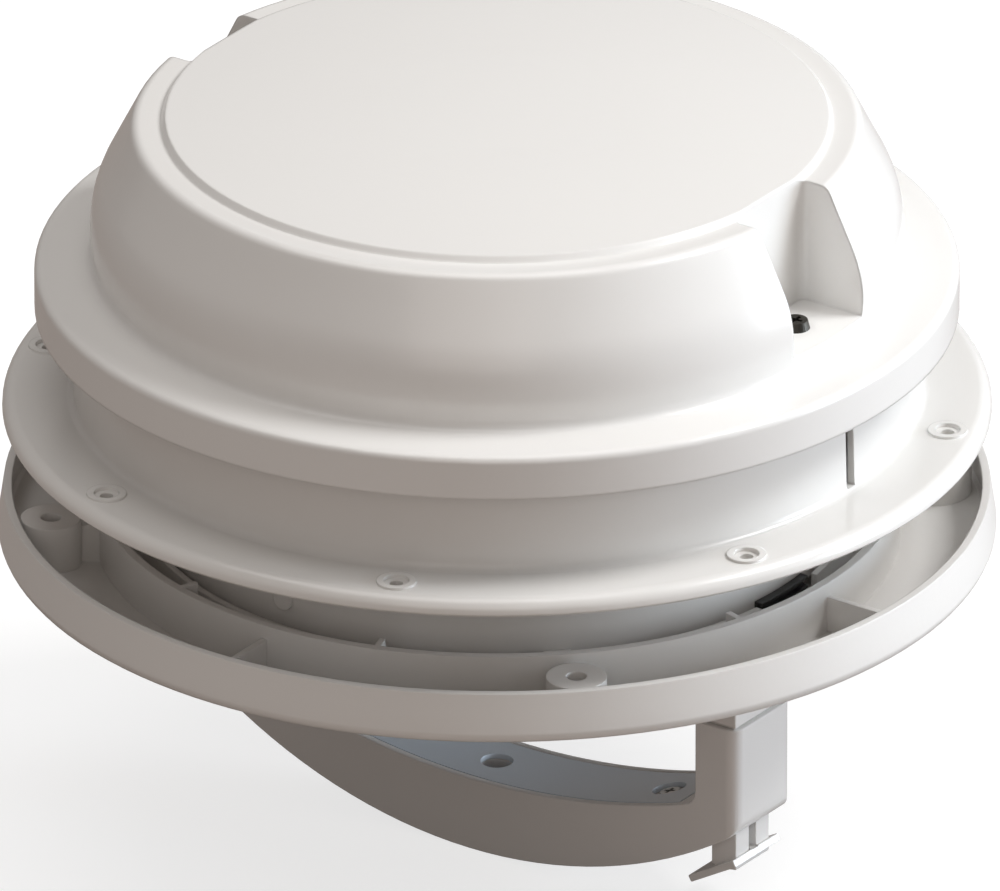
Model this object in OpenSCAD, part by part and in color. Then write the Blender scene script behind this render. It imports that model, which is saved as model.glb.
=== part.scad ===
// Powered dome vent for a caravan roof, in millimetres.
// The origin is the centre of the flange's underside, where it meets the roof.
// +Z is up through the roof, and +X runs along the bow handle.

/* [Flange and neck] */
// Outer radius of the roof flange
flange_r = 143.5; // [141:0.5:147]
// Thickness of the roof flange
flange_t = 5.2; // [4:0.1:6]
// Number of screw holes in the roof flange
hole_count = 8; // [4:4:12]
// Radius of each roof screw hole
hole_r = 1.9; // [1.6:0.1:2.5]
// Radius of the circle that the roof screw holes lie on
hole_circle_r = 133.5; // [131:0.5:134]
// Outer radius of the upstand that the dome closes over
upstand_r = 123; // [121:0.5:123.5]
// Height of the upstand above the roof
upstand_h = 28.5; // [24:0.5:30]
// Outer radius of the spigot that goes through the roof
spigot_r = 99.5; // [98:0.5:101]
// Depth of the spigot below the roof's outer skin
spigot_h = 35.5; // [34:0.5:37]
// Wall of the moulded parts
wall = 2.5; // [2:0.1:3]

/* [Dome] */
// Lift of the dome from closed to open
lift = 13; // [8:0.5:15]
// Outer radius of the dome's rim
rim_r = 134; // [131:0.5:136]
// Height of the rim's upright band
rim_h = 11.7; // [9:0.1:13]
// Widest radius of the dome's wall
bulge_r = 117.8; // [116:0.1:119]
// Height of the shoulder above the ledge
shoulder_h = 43.9; // [38:0.1:46]
// Radius of the raised top panel
panel_r = 96; // [90:0.5:96.5]
// Crown of the raised top panel
panel_crown = 4; // [2:0.5:7]
// Width of the screw pocket in the dome's side
pocket_w = 35; // [32:0.2:38]
// Distance from the axis to the pocket's back wall
pocket_x = 95.2; // [94.5:0.1:95.6]

/* [Ceiling trim] */
// Gap between flange and trim that the roof fills
roof_gap = 24.5; // [22.5:0.5:25]
// Outer radius of the ceiling trim
trim_r = 145; // [143:0.5:150]
// Height of the trim's outer wall
trim_h = 15.8; // [14.5:0.1:17]
// Outer radius of the trim's inner collar
collar_r = 117; // [114:0.5:119]
// Radius of the circle that the trim's screw bosses lie on
boss_circle_r = 131.2; // [130:0.1:132]
// Outer radius of a screw boss
boss_r = 8.8; // [7:0.1:9]
// Radius of the hole in a screw boss
boss_hole_r = 3; // [2:0.05:3.2]
// Pitch of the rings in the grille
grille_pitch = 9; // [7:0.5:12]
// Number of spokes in the grille
grille_spokes = 16; // [12:4:24]
// Pitch of the wires in the insect screen
mesh_pitch = 11; // [9:0.5:15]

/* [Handle] */
// Width of the bow handle
bow_w = 29; // [27:0.5:32]
// Thickness of each handle post
post_t = 14.5; // [14:0.1:15]
// Height of the handle posts' top joint below the roof
joint_drop = 74; // [70:0.5:80]
// Depth of the bow's lowest point below the roof
bow_drop = 137.2; // [134:0.2:146]
// Radius of the bow's lower curve
bow_low_r = 162; // [156:1:175]
// Radius of the bow's upper curve
bow_top_r = 235; // [220:1:245]
// Thickness of the bow at its middle
bow_t = 22.7; // [20:0.1:24]
// Width of each strut
strut_w = 27.6; // [25:0.2:27.8]
// Travel of the latch trigger
trigger_travel = 5; // [3:0.5:5.5]

/* [Fan] */
// Number of fan blades
blade_count = 6; // [4:1:8]
// Pitch of the blades
blade_pitch = 32; // [22:1:38]
// Radius of the fan hub
fan_hub_r = 20; // [17:0.5:24]
// Radius of the motor can
motor_r = 18; // [15:0.5:20]
// Height of the motor can
motor_h = 32; // [24:1:38]

/* [Hidden] */
$fn = 96;

// Clearances: sliding between moving pieces, and round a screw or a plate in its seat
slide_gap = 0.3;
seat_gap = 0.05;
eps = 0.01;

// Flange and neck
spigot_in = spigot_r - wall;
upstand_in = upstand_r - wall;
flange_edge = 4;
flange_foot = 0.8;
neck_fillet = 2.2;
ring_r = 5.8;
ring_h = 0.7;
sink_r = 3.7;
sink_h = 1.1;
slit_w = 4;
slit_y = 2.1;
seal_t = 2.5;
seal_lip = 0.9;
peg_r = 3.3;
peg_out = 1.4;
peg_angle = -93;
peg_z = -24.8;

// Struts and their guide shoes inside the spigot
shoe_t = 2.9;
strut_out = spigot_in - shoe_t - slide_gap;
post_out = strut_out + 0.7;
post_in = post_out - post_t;
strut_in = post_in + 0.7;
strut_t = strut_out - strut_in;
strut_mid = (strut_out + strut_in) / 2;
shoe_side = 2.4;
shoe_in = strut_in + 3;
shoe_top = -2;

// Clips on the outside of the spigot, where the struts run
clip_w = 23.4;
clip_t = 1.2;
clip_h = 4;
clip_rib_t = 1;
clip_rib_out = 1.6;

// Dome heights, from the roof up
ledge_under = upstand_h + seal_t + slide_gap + lift;
ledge_z = ledge_under + wall;
ledge_fall = 0.6;
rim_round = 2.2;
rim_low = ledge_under + 0.4 - rim_h;
shoulder_z = ledge_z + shoulder_h;
bulge_z = ledge_z + 11.1;
bulge_curve = 34;
bulge_base = 13;
cone_angle = 27;
shoulder_round = 3.4;
crease_round = 2.6;
panel_step = 1.8;
panel_slope = 1.4;
panel_z = shoulder_z + panel_step;
pocket_round = 2.5;
pocket_rise = 6.2;
pocket_floor = ledge_z + pocket_rise;
dome_screw_x = pocket_x + 9.8;
dome_screw_r = 2;
dome_head_r = 4.2;
dome_head_h = 2.6;

// Struts, from the pocket floor down to the tenon in the handle post
lug_w = 20;
lug_h = 7;
lug_top = pocket_floor - wall;
joint_line_h = 0.9;
joint_line_t = 0.8;
lug_out = dome_screw_x + 6.5;
tenon_gap = 0.2;
tenon_wall = 3;
tenon_w = strut_w - 6;
tenon_drop = 12;
rod_r = 1.6;
rod_bore_r = rod_r + slide_gap;
nose_w = 8;
nose_h = 8;
nose_low = -joint_drop + 38;
window_up = trigger_travel + 6;

// Bow handle
bow_low_z = -bow_drop;
bow_top_z = bow_low_z + bow_t;
low_corner = 7;
inner_corner = 5;
plan_round = 4;
cover_t = 1.8;
cover_w = bow_w - 5;
cover_x = post_in - inner_corner - 2;
channel_w = cover_w - 5;
channel_x = cover_x - 20;
channel_floor = 3;
cover_screw_x = cover_x - 12;
cover_screw_r = 1.6;
cover_head_r = 3.6;
cover_head_h = 2;
cover_sink_r = 5;
cover_sink_h = 2.6;
cover_seat = cover_sink_h + 0.2;
cover_shank = 10;
well_r = 4.7;
well_wall = 2;
well_depth = 11;
post_screw_y = 7.5;
post_screw_r = 1.4;
post_head_r = 2.7;
post_screw_z = -joint_drop - 6;
tail_w = 17;
tail_t = 8.6;
tail_in = strut_mid - 1.1 - tail_t / 2;
tail_low = bow_low_z + 16.5;
tail_up = -joint_drop - tenon_drop - 14;
tail_slot_w = 3.3;
tail_slot_t = tail_t - 2;
foot_w = 23;
foot_t = 2.2;
foot_slope = 30;
foot_in = 7.6;
foot_out = 2.1;
spring_r = 3.6;
spring_wire = 0.5;
spring_turns = 5;

// Ceiling trim, from the rim down
trim_top = -roof_gap;
trim_low = trim_top - trim_h;
trim_edge = 4;
trim_draft = 1.75;
trim_wall = 2.4;
floor_t = 2.2;
mouth_low = trim_low - 4;
mouth_up = mouth_low + floor_t;
mouth_r = spigot_in;
seat_r = mouth_r + 3.5;
collar_in = collar_r - wall;
collar_top = trim_top - 0.6;
boss_top = trim_top - 0.8;
rib_t = 1.8;
rib_top = trim_top - 5;
gusset_angle = 27.5;
gusset_out = 5;
throat_r = spigot_r + 2.6;
throat_t = 2;
throat_top = trim_top - 7.4;
throat_gap_w = clip_w + 4.6;
pad_w = 8;

// Grille and insect screen, with notches that the struts pass through
grille_r = mouth_r - slide_gap;
grille_low = mouth_low + 0.2;
grille_up = mouth_up + 1.2;
grille_bar = 2;
grille_rim = 3;
grille_hub_r = 13;
notch_gap = 1.6;
notch_x = strut_in - notch_gap;
notch_w = strut_w + 2 * notch_gap;
screen_r = mouth_r - 3;
screen_t = 1.4;
wire_t = 0.9;

// Fan, hung below the frame
frame_top = -5;
frame_t = 5;
arm_w = 9;
ring_in = strut_in - 4.6;
ring_out = ring_in + 2.2;
ring_low = -32;
hub_plate_r = motor_r + 5;
bracket_r = 6.5;
bracket_h = 12;
bracket_x = spigot_in - bracket_r + 1.5;
frame_screw_r = 1.5;
frame_head_r = 3;
frame_head_h = 1.8;
fan_r = ring_in - 1.8;
fan_up = frame_top - frame_t - 3;
fan_hub_h = 17;
blade_curve = 42;
blade_chord = 27;
blade_t = 1.8;
shaft_r = 2.5;
shaft_gap = 0.05;
shaft_up = frame_top + motor_h - 5;
nut_r = 5;
nut_h = 3.2;
boss_up = 3;
motor_boss_r = 6.5;
motor_screw_x = 11.5;
motor_screw_r = 1.5;
motor_head_r = 2.6;
motor_head_h = 1.6;

// Fan switch, let into the trim's underside
switch_angle = 112.5;
switch_x = (trim_r - trim_wall + collar_r) / 2;
switch_l = 15;
switch_d = 10;
switch_bezel = 1.6;
switch_bezel_t = 1.2;
switch_h = 11;
switch_wall = 1.3;
pad_l = 22;
pad_d = 15;
pad_low = trim_low - 3.2;
rocker_pin_r = 1;
rocker_r = 11;
rocker_h = 3.4;
rocker_pin_z = pad_low + 2.6;

// Points along an arc, from angle a0 to a1
function arc(c, r, a0, a1, n) = [for (i = [0:n]) let (a = a0 + (a1 - a0) * i / n) c + r * [cos(a), sin(a)]];
function reversed(v) = [for (i = [len(v) - 1:-1:0]) v[i]];

// Outline of the dome's face, moved inwards by d, from the centre of the panel to the foot of the wall
crown_r = (panel_r * panel_r + panel_crown * panel_crown) / (2 * panel_crown);
crown_span = asin(panel_r / crown_r);
bulge_c = [bulge_r - bulge_curve, bulge_z];
round_z = shoulder_z - shoulder_round;
round_c = [
    bulge_c[0] + (bulge_curve - shoulder_round - (round_z - bulge_z) * sin(cone_angle)) / cos(cone_angle),
    round_z
];
function face_points(d) = concat(
    arc([0, panel_z + panel_crown - crown_r], crown_r - d, 90, 90 - crown_span, 8),
    [[panel_r + panel_slope - d, shoulder_z - d]],
    arc(round_c, shoulder_round - d, 90, cone_angle, 6),
    arc(bulge_c, bulge_curve - d, cone_angle, -bulge_base, 10)
);
wall_foot = bulge_r - bulge_curve * (1 - cos(bulge_base));

// Solid bounded by the dome's outer skin
module dome_outer() {
    rotate_extrude($fn = 180) polygon(concat(
        face_points(0),
        arc([wall_foot + crease_round, ledge_z + crease_round], crease_round, 180, 270, 5),
        arc([rim_r - rim_round, ledge_z - ledge_fall - rim_round], rim_round, 90, 0, 6),
        [[rim_r, rim_low], [0, rim_low]]
    ));
}

// Space inside the dome's skin
module dome_inner() {
    rotate_extrude($fn = 180) polygon(concat(
        face_points(wall),
        [[wall_foot - wall, ledge_under], [rim_r - wall, ledge_under],
         [rim_r - wall, rim_low - 1], [0, rim_low - 1]]
    ));
}

// The two screw pockets, grown by d on every side but the open one
module dome_pockets(d) {
    half_w = pocket_w / 2 + d;
    back = pocket_x - d;
    r = pocket_round + d;
    for (side = [0, 180]) rotate([0, 0, side])
        translate([0, 0, pocket_floor - d])
            linear_extrude(panel_z + panel_crown - pocket_floor + d + 1)
                polygon(concat(
                    arc([back + r, -half_w + r], r, 270, 180, 4),
                    arc([back + r, half_w - r], r, 180, 90, 4),
                    [[rim_r + 5, half_w], [rim_r + 5, -half_w]]
                ));
}

module dome() {
    color("white") difference() {
        dome_outer();
        dome_pockets(0);
        difference() {
            dome_inner();
            dome_pockets(wall);
        }
        for (side = [-1, 1]) translate([side * dome_screw_x, 0, lug_top - 1])
            cylinder(r = dome_screw_r + seat_gap, h = wall + 2);
    }
}

// Screws through the pocket floors into the strut lugs
module dome_screws() {
    color("dimgray") for (side = [-1, 1]) translate([side * dome_screw_x, 0, pocket_floor]) {
        difference() {
            cylinder(r = dome_head_r, h = dome_head_h);
            translate([0, 0, dome_head_h - 1.6]) cylinder(r = dome_head_r - 1.5, h = 2, $fn = 6);
        }
        translate([0, 0, -wall - lug_h + 1]) cylinder(r = dome_screw_r, h = wall + lug_h - 1 + eps);
    }
}

// Profile of the flange, the upstand and the spigot
module flange_body() {
    rotate_extrude($fn = 180) polygon(concat(
        [[spigot_in, -spigot_h], [spigot_r, -spigot_h], [spigot_r, 0],
         [flange_r - flange_foot, 0], [flange_r, flange_foot]],
        arc([flange_r - flange_edge, flange_t - flange_edge], flange_edge, 12, 90, 6),
        arc([upstand_r + neck_fillet, flange_t + neck_fillet], neck_fillet, 270, 180, 5),
        [[upstand_r - 0.6, upstand_h], [upstand_in, upstand_h],
         [upstand_in, flange_t], [spigot_in, flange_t]]
    ));
}

// Guide shoe inside the spigot: two cheeks and a back that the strut slides against
module guide_shoe() {
    half_w = strut_w / 2 + slide_gap + shoe_side;
    intersection() {
        difference() {
            translate([shoe_in, -half_w, -spigot_h]) cube([spigot_in - shoe_in + 1, 2 * half_w, spigot_h + shoe_top]);
            translate([shoe_in - 1, -strut_w / 2 - slide_gap, -spigot_h - 1])
                cube([strut_out + slide_gap - shoe_in + 1, strut_w + 2 * slide_gap, spigot_h + 2]);
        }
        translate([0, 0, -spigot_h]) cylinder(r = spigot_in + 1, h = spigot_h);
    }
}

// Bracket inside the spigot that carries one arm of the fan frame
module fan_bracket() {
    intersection() {
        translate([bracket_x, 0, frame_top - frame_t - bracket_h]) union() {
            cylinder(r = bracket_r, h = bracket_h);
            translate([0, -bracket_r, 0]) cube([bracket_r + 2, 2 * bracket_r, bracket_h]);
        }
        translate([0, 0, -spigot_h]) cylinder(r = spigot_in + 1, h = spigot_h);
    }
}

module at_roof_holes() {
    for (i = [0:hole_count - 1]) rotate([0, 0, (i + 0.5) * 360 / hole_count])
        translate([hole_circle_r, 0, 0]) children();
}

module roof_flange() {
    color("white") difference() {
        union() {
            flange_body();
            at_roof_holes() cylinder(r = ring_r, h = flange_t + ring_h);
            for (side = [0, 180]) rotate([0, 0, side]) guide_shoe();
            for (i = [0:3]) rotate([0, 0, 45 + 90 * i]) fan_bracket();
            for (side = [0, 180]) rotate([0, 0, peg_angle + side])
                translate([spigot_r - 1, 0, peg_z]) rotate([0, 90, 0]) cylinder(r = peg_r, h = 1 + peg_out);
        }
        at_roof_holes() {
            translate([0, 0, -1]) cylinder(r = hole_r, h = flange_t + 3);
            translate([0, 0, flange_t + ring_h - sink_h]) cylinder(r = sink_r, h = sink_h + 1);
        }
        for (side = [0, 180]) rotate([0, 0, side])
            translate([upstand_in - 2, slit_y - slit_w / 2, flange_t + 1]) cube([wall + 3, slit_w, upstand_h]);
        for (i = [0:3]) rotate([0, 0, 45 + 90 * i])
            translate([bracket_x, 0, frame_top - frame_t - bracket_h - 1])
                cylinder(r = frame_screw_r + seat_gap, h = bracket_h + 2);
        for (side = [0, 180]) rotate([0, 0, side])
            ring_slice(spigot_in - 2 * seat_gap - clip_t, spigot_in, -spigot_h - 1, clip_h - spigot_h + seat_gap,
                       clip_w + 2 * seat_gap);
    }
}

// Soft seal on the upstand's top, which the dome's ledge closes on
module flange_seal() {
    color("dimgray") rotate_extrude($fn = 180) polygon([
        [upstand_in - seal_lip, upstand_h], [upstand_r - 0.2, upstand_h],
        [upstand_r - 0.2, upstand_h + seal_t * 0.6], [upstand_r - 1.2, upstand_h + seal_t],
        [upstand_in + 0.2, upstand_h + seal_t], [upstand_in - seal_lip, upstand_h + seal_t * 0.6]
    ]);
}

// Slice of a ring between two radii and two heights, no wider than w, at +X
module ring_slice(r0, r1, z0, z1, w) {
    intersection() {
        translate([0, 0, z0]) difference() {
            cylinder(r = r1, h = z1 - z0, $fn = 180);
            translate([0, 0, -1]) cylinder(r = r0, h = z1 - z0 + 2, $fn = 180);
        }
        translate([r0 / 2, -w / 2, z0 - 1]) cube([r1, w, z1 - z0 + 2]);
    }
}

// Black ribbed clips that grip the spigot's lower edge, one outside each guide shoe
module guide_clips() {
    low = -spigot_h - clip_t;
    in_r = spigot_in - seat_gap - clip_t;
    out_r = spigot_r + seat_gap + clip_t;
    color("black") for (side = [0, 180]) rotate([0, 0, side]) {
        difference() {
            ring_slice(in_r, out_r, low, clip_h - spigot_h, clip_w);
            ring_slice(spigot_in - seat_gap, spigot_r + seat_gap, -spigot_h, clip_h - spigot_h + 1, clip_w + 2);
        }
        for (z = [-spigot_h, clip_h - spigot_h - clip_rib_t])
            ring_slice(out_r - seat_gap, out_r + clip_rib_out, z, z + clip_rib_t, clip_w);
    }
}

// Height of the trim's upper floor at radius r
function floor_z(r) = mouth_up + (r - seat_r) / (trim_r - trim_edge - seat_r) * (trim_low + floor_t - mouth_up);

module trim_body() {
    inner = trim_r - trim_wall;
    rotate_extrude($fn = 180) polygon(concat(
        [[mouth_r, mouth_low], [seat_r, mouth_low]],
        arc([trim_r - trim_edge, trim_low + trim_edge], trim_edge, 270, 360, 6),
        [[trim_r - trim_draft, trim_top], [trim_r - trim_draft - trim_wall, trim_top],
         [inner, floor_z(inner) + 1], [inner - 1, floor_z(inner - 1)],
         [collar_r, floor_z(collar_r)], [collar_r, collar_top], [collar_in, collar_top],
         [collar_in, floor_z(collar_in)], [seat_r, mouth_up], [mouth_r, mouth_up]]
    ));
}

// Upright plate along +X from x0 to x1, from the trim's floor up to z1
module trim_rib(x0, x1, z1) {
    translate([0, rib_t / 2, 0]) rotate([90, 0, 0]) linear_extrude(rib_t)
        polygon([[x0, floor_z(x0) - 1], [x1, floor_z(x1) - 1], [x1, z1], [x0, z1]]);
}

// Low ring round the spigot's lower edge, open where the clips stand
module throat() {
    difference() {
        rotate_extrude($fn = 180) polygon([
            [throat_r, mouth_up - 1], [throat_r + throat_t, mouth_up - 1],
            [throat_r + throat_t, throat_top], [throat_r, throat_top]
        ]);
        for (side = [0, 180]) rotate([0, 0, side]) translate([spigot_r / 2, -throat_gap_w / 2, floor_z(throat_r + throat_t)])
            cube([spigot_r, throat_gap_w, trim_h]);
    }
}

module at_switch() {
    rotate([0, 0, switch_angle]) translate([switch_x, 0, 0]) children();
}

module ceiling_trim() {
    color("whitesmoke") difference() {
        union() {
            trim_body();
            for (i = [0:3]) rotate([0, 0, 90 * i]) {
                trim_rib(collar_r - 1, trim_r - trim_wall + 0.5, rib_top);
                rotate([0, 0, 45]) {
                    translate([boss_circle_r, 0, mouth_up + 1]) cylinder(r = boss_r, h = boss_top - mouth_up - 1);
                    trim_rib(collar_r - 1, boss_circle_r, boss_top - 3);
                    for (a = [-gusset_angle, gusset_angle]) rotate([0, 0, a])
                        trim_rib(collar_in - gusset_out, collar_in + 0.6, collar_top);
                    ring_slice(spigot_r + seat_gap, throat_r + 0.5, mouth_up - 1, throat_top, pad_w);
                }
            }
            throat();
            at_switch() translate([-pad_d / 2, -pad_l / 2, pad_low]) cube([pad_d, pad_l, trim_low + 1 - pad_low]);
        }
        for (i = [0:3]) rotate([0, 0, 45 + 90 * i])
            translate([boss_circle_r, 0, mouth_low - 1]) cylinder(r = boss_hole_r, h = boss_top - mouth_low + 2);
        at_switch() translate([-switch_d / 2 - seat_gap, -switch_l / 2 - seat_gap, pad_low - 1])
            cube([switch_d + 2 * seat_gap, switch_l + 2 * seat_gap, switch_h]);
    }
}

// Plan of the grille and screen, less the notches round the struts
module notched(r, grow) {
    difference() {
        circle(r = r, $fn = 180);
        for (side = [0, 180]) rotate([0, 0, side])
            translate([notch_x - grow, -notch_w / 2 - grow]) square([r, notch_w + 2 * grow]);
    }
}

// Plan of the grille: rim, hub, rings and spokes
module grille_plan() {
    difference() {
        notched(grille_r, 0);
        notched(grille_r - grille_rim, grille_rim);
    }
    circle(r = grille_hub_r);
    intersection() {
        notched(grille_r - 1, 1);
        union() {
            for (r = [grille_hub_r + grille_pitch:grille_pitch:grille_r - grille_pitch]) difference() {
                circle(r = r + grille_bar / 2);
                circle(r = r - grille_bar / 2);
            }
            for (i = [0:grille_spokes - 1]) rotate((i + 0.5) * 360 / grille_spokes)
                translate([grille_hub_r - 1, -grille_bar / 2]) square([grille_r - grille_hub_r, grille_bar]);
        }
    }
}

module trim_grille() {
    color("whitesmoke") {
        translate([0, 0, grille_low]) linear_extrude(grille_up - grille_low) grille_plan();
        translate([0, 0, mouth_up]) linear_extrude(grille_up - mouth_up) difference() {
            notched(grille_r + 2, 0);
            notched(grille_r - 1, 1);
        }
    }
}

// Insect screen in its frame, lying on the grille
module insect_screen() {
    span = floor(screen_r / mesh_pitch);
    color("gray") translate([0, 0, grille_up]) {
        linear_extrude(screen_t) difference() {
            notched(screen_r, 1);
            notched(screen_r - grille_rim, grille_rim + 1);
        }
        intersection() {
            linear_extrude(wire_t) notched(screen_r - 1, 2);
            for (turn = [0, 90], i = [-span:span]) rotate([0, 0, turn])
                translate([-screen_r, i * mesh_pitch - wire_t / 2, 0]) cube([2 * screen_r, wire_t, wire_t]);
        }
    }
}

// Plan of the fan frame: hub plate, four arms and shroud ring, with the screw holes
module fan_frame_plan() {
    arm_out = spigot_in - 1;
    difference() {
        union() {
            circle(r = hub_plate_r);
            for (a = [45, 135]) rotate(a) square([2 * arm_out, arm_w], center = true);
            difference() {
                circle(r = ring_out);
                circle(r = ring_in);
            }
        }
        circle(r = motor_boss_r + seat_gap);
        for (x = [-motor_screw_x, motor_screw_x]) translate([x, 0]) circle(r = motor_screw_r + seat_gap);
        for (i = [0:3]) rotate(45 + 90 * i) translate([bracket_x, 0]) circle(r = frame_screw_r + seat_gap);
    }
}

// Fan frame: the plan above, with the shroud ring carried on down round the blades
module fan_frame() {
    color("whitesmoke") {
        translate([0, 0, frame_top - frame_t]) linear_extrude(frame_t) fan_frame_plan();
        translate([0, 0, ring_low]) linear_extrude(frame_top - frame_t - ring_low) difference() {
            circle(r = ring_out);
            circle(r = ring_in);
        }
    }
}

// Pan-head screw standing on z = 0, with its shank below and a cross in its head
module pan_screw(r, head_r, head_h, l) {
    difference() {
        cylinder(r = head_r, h = head_h);
        for (turn = [0, 90]) rotate([0, 0, turn])
            translate([-head_r * 0.6, -head_r * 0.13, head_h * 0.4]) cube([head_r * 1.2, head_r * 0.26, head_h]);
    }
    translate([0, 0, -l]) cylinder(r = r, h = l + eps);
}

module frame_screws() {
    color("silver") for (i = [0:3]) rotate([0, 0, 45 + 90 * i])
        translate([bracket_x, 0, frame_top]) pan_screw(frame_screw_r, frame_head_r, frame_head_h, frame_t + bracket_h - 2);
}

module fan_motor() {
    color("silver") difference() {
        union() {
            translate([0, 0, frame_top]) cylinder(r = motor_r, h = motor_h - 4);
            translate([0, 0, frame_top + motor_h - 4]) cylinder(r1 = motor_r, r2 = motor_r - 3, h = 4);
            translate([0, 0, frame_top - boss_up]) cylinder(r = motor_boss_r, h = boss_up + 1);
        }
        translate([0, 0, frame_top - boss_up - 1]) cylinder(r = shaft_r + shaft_gap, h = shaft_up - frame_top + boss_up + 1.5);
        for (x = [-motor_screw_x, motor_screw_x]) translate([x, 0, frame_top - 1])
            cylinder(r = motor_screw_r + seat_gap, h = 7);
    }
}

module motor_screws() {
    color("silver") for (x = [-motor_screw_x, motor_screw_x])
        translate([x, 0, frame_top - frame_t]) mirror([0, 0, 1])
            pan_screw(motor_screw_r, motor_head_r, motor_head_h, frame_t + 5);
}

module motor_shaft() {
    low = fan_up - fan_hub_h - nut_h + 0.4;
    color("silver") translate([0, 0, low]) cylinder(r = shaft_r, h = shaft_up - low);
}

// Curved blade: a slice of a tube that lies along the radius
module fan_blade() {
    half = asin(blade_chord / 2 / blade_curve);
    profile = concat(
        arc([0, -blade_curve], blade_curve + blade_t, 90 - half, 90 + half, 8),
        arc([0, -blade_curve], blade_curve, 90 + half, 90 - half, 8)
    );
    translate([fan_hub_r - 4, 0, fan_up - fan_hub_h / 2 - 1]) rotate([blade_pitch, 0, 0])
        rotate([90, 0, 90]) linear_extrude(fan_r - fan_hub_r + 8) polygon(profile);
}

module fan_impeller() {
    color("dimgray") difference() {
        union() {
            translate([0, 0, fan_up - fan_hub_h]) cylinder(r = fan_hub_r, h = fan_hub_h);
            intersection() {
                for (i = [0:blade_count - 1]) rotate([0, 0, (i + 0.4) * 360 / blade_count]) fan_blade();
                translate([0, 0, fan_up - fan_hub_h]) cylinder(r = fan_r, h = fan_hub_h);
            }
        }
        translate([0, 0, fan_up - fan_hub_h - 1]) cylinder(r = shaft_r, h = fan_hub_h + 2);
        translate([0, 0, fan_up - fan_hub_h + 4]) difference() {
            cylinder(r = fan_hub_r - 2, h = fan_hub_h);
            cylinder(r = shaft_r + 3, h = fan_hub_h);
        }
    }
}

module impeller_nut() {
    color("silver") translate([0, 0, fan_up - fan_hub_h - nut_h]) difference() {
        cylinder(r = nut_r, h = nut_h, $fn = 6);
        translate([0, 0, -1]) cylinder(r = shaft_r, h = nut_h + 2);
    }
}

module switch_body() {
    color("black") at_switch() difference() {
        union() {
            translate([-switch_d / 2, -switch_l / 2, pad_low]) cube([switch_d, switch_l, switch_h]);
            translate([-switch_d / 2 - switch_bezel, -switch_l / 2 - switch_bezel, pad_low - switch_bezel_t])
                cube([switch_d + 2 * switch_bezel, switch_l + 2 * switch_bezel, switch_bezel_t]);
        }
        translate([-switch_d / 2 + switch_wall, -switch_l / 2 + switch_wall, pad_low - switch_bezel_t - 1])
            cube([switch_d - 2 * switch_wall, switch_l - 2 * switch_wall, switch_h]);
        translate([-switch_d / 2 - 0.5, 0, rocker_pin_z]) rotate([0, 90, 0])
            cylinder(r = rocker_pin_r + shaft_gap, h = switch_d + 1);
    }
}

// Rocker: a slice of a drum on a cross pin
module switch_rocker() {
    w = switch_d - 2 * switch_wall - 2 * slide_gap;
    l = switch_l - 2 * switch_wall - 1.6;
    color("black") at_switch() translate([0, 0, rocker_pin_z]) {
        intersection() {
            translate([-w / 2, 0, rocker_r - rocker_h - 3.4]) rotate([0, 90, 0]) cylinder(r = rocker_r, h = w);
            translate([-w / 2, -l / 2, -rocker_h - 4]) cube([w, l, rocker_h + 5.2]);
        }
        translate([-switch_d / 2 + 0.4, 0, 0]) rotate([0, 90, 0]) cylinder(r = rocker_pin_r, h = switch_d - 0.8);
    }
}

// One strut on the +X side: lug, column and tenon, with the latch rod's bore and window
module strut() {
    half_w = strut_w / 2;
    tenon_t = strut_t - 2 * tenon_wall + 1.4;
    difference() {
        union() {
            translate([strut_in, -half_w, -joint_drop]) cube([strut_t, strut_w, lug_top + joint_drop]);
            translate([strut_in, -lug_w / 2, lug_top - lug_h]) cube([lug_out - strut_in, lug_w, lug_h]);
            translate([strut_mid - tenon_t / 2, -tenon_w / 2, -joint_drop - tenon_drop])
                cube([tenon_t, tenon_w, tenon_drop + 1]);
        }
        translate([strut_in - 1, -half_w - 1, -joint_drop]) difference() {
            translate([0, 0, -1]) cube([strut_t + 2, strut_w + 2, joint_line_h + 1]);
            translate([joint_line_t + 1, joint_line_t + 1, -2])
                cube([strut_t - 2 * joint_line_t, strut_w - 2 * joint_line_t, joint_line_h + 3]);
        }
        translate([strut_mid, 0, -joint_drop - tenon_drop - 1])
            cylinder(r = rod_bore_r, h = nose_low + nose_h + window_up + joint_drop + tenon_drop);
        translate([strut_mid - nose_w / 2 - slide_gap, -nose_w / 2 - slide_gap, nose_low - 1])
            cube([strut_t, nose_w + 2 * slide_gap, nose_h + window_up]);
        translate([dome_screw_x, 0, lug_top - lug_h - 1]) cylinder(r = dome_screw_r + seat_gap, h = lug_h + 2);
        translate([strut_in - 1, post_screw_y, post_screw_z]) rotate([0, 90, 0])
            cylinder(r = post_screw_r + seat_gap, h = strut_mid - strut_in);
    }
}

module strut_right() { color("white") strut(); }
module strut_left() { color("white") rotate([0, 0, 180]) strut(); }

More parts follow.
